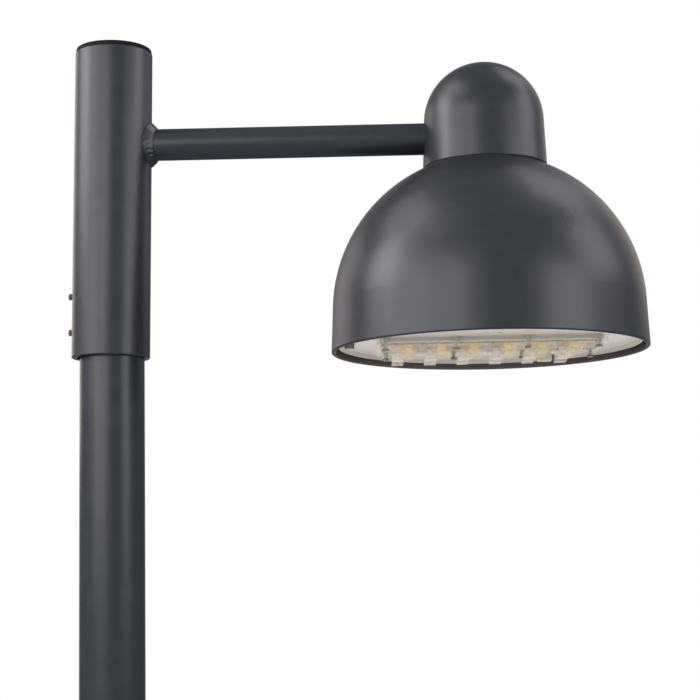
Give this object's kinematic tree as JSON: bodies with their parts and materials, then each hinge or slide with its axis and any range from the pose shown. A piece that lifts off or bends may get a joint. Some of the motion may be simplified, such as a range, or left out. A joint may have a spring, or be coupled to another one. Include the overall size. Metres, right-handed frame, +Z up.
{
  "type": "led street lantern",
  "caption": "Pole lantern: domed shade on a horizontal arm from a sleeve over a round pole, with a clear multi-lens LED optic under a white tray.",
  "frame": {"origin": "centre of the pole section's lower end", "axes": "+Z up the pole, +X along the arm towards the shade"},
  "size_m": [0.5406, 0.295, 0.6369],
  "materials": {
    "anthracite_coat": "satin powder coat",
    "pole_coat": "satin powder coat",
    "cap_plastic": "moulded, fine grain",
    "white_coat": "semi-gloss white",
    "bare_aluminium": "mill finish",
    "board_white": "white solder mask",
    "led_phosphor": "silicone dome",
    "clear_optic": "clear moulded",
    "screw_steel": "stainless",
    "dark_steel": "black oxide",
    "seal_rubber": "matte",
    "grey_rubber": "matte",
    "white_plastic": "moulded",
    "driver_plastic": "moulded",
    "terminal_plastic": "moulded"
  },
  "bodies": {
    "root": {"pole_section": "pole_coat", "pole_sleeve": "anthracite_coat", "sleeve_end_cap": "cap_plastic", "clamp_screws": "dark_steel", "arm_tube": "anthracite_coat", "arm_weld": "anthracite_coat", "cap_housing": "anthracite_coat", "arm_set_screws": "dark_steel", "arm_grommet": "seal_rubber", "cap_gasket": "seal_rubber", "shade_bowl": "anthracite_coat", "shade_screws": "screw_steel", "shade_washers": "screw_steel", "gear_tray": "white_coat", "tray_seal": "seal_rubber", "tray_screws": "screw_steel", "heat_spreader": "bare_aluminium", "led_board": "board_white", "led_chips": "led_phosphor", "board_connector": "white_plastic", "lens_gasket": "grey_rubber", "lens_plate": "clear_optic", "lens_screws": "screw_steel", "lens_nuts": "screw_steel", "board_screws": "screw_steel", "led_driver": "driver_plastic", "driver_terminals": "terminal_plastic", "driver_screws": "screw_steel", "terminal_block": "white_plastic", "terminal_screws": "screw_steel", "block_screws": "screw_steel", "earth_stud": "screw_steel", "earth_nut": "screw_steel", "lead_grommet": "grey_rubber"}
  },
  "joints": []
}
